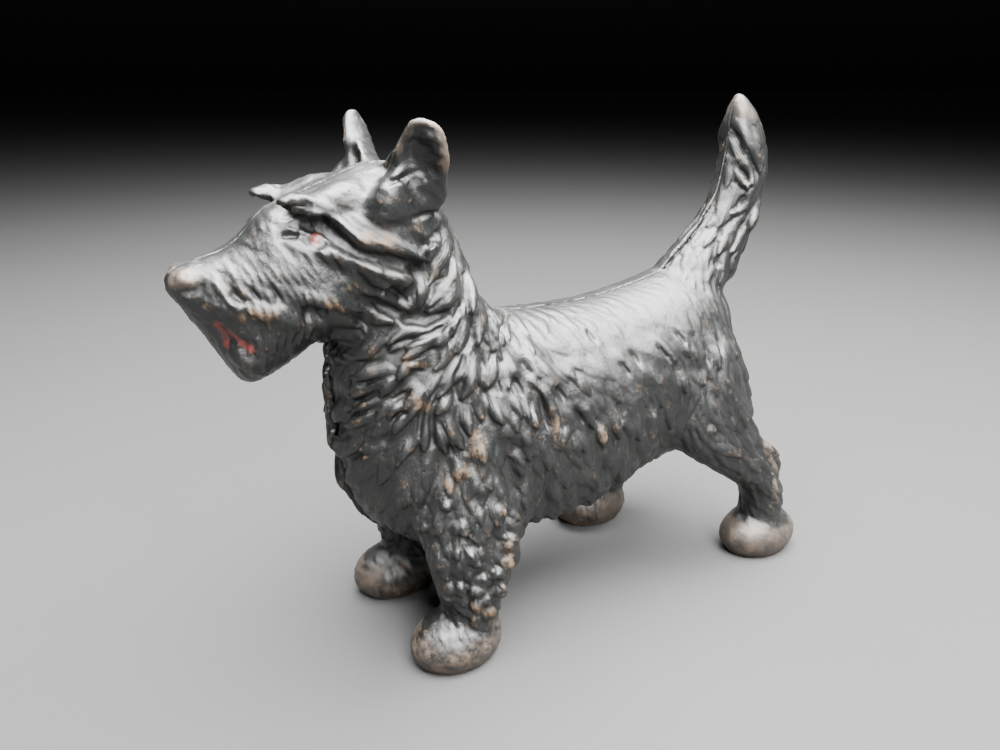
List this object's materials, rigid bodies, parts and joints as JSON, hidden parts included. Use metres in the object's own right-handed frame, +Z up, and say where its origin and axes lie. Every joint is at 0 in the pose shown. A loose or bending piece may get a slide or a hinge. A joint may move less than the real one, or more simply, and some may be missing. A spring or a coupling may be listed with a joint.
{
  "type": "cast iron doorstop",
  "caption": "Standing terrier doorstop cast as two hollow halves, screwed together along the middle.",
  "frame": {"origin": "bottom centre of the bounding box, on the plane where the two halves meet", "axes": "-X points forward, the way the dog looks; +Z up; -Y towards its left flank"},
  "size_m": [0.303, 0.1066, 0.2374],
  "materials": {
    "black_paint_left": "worn semi-gloss black paint over cast iron, bare and rusty on the paws and high spots",
    "black_paint_right": "worn semi-gloss black paint over cast iron, bare and rusty on the paws and high spots",
    "screw_steel": "dull steel with traces of black paint"
  },
  "bodies": {
    "root": {"left_half_casting": "black_paint_left", "right_half_casting": "black_paint_right", "front_screw": "screw_steel", "rear_screw": "screw_steel"}
  },
  "joints": []
}
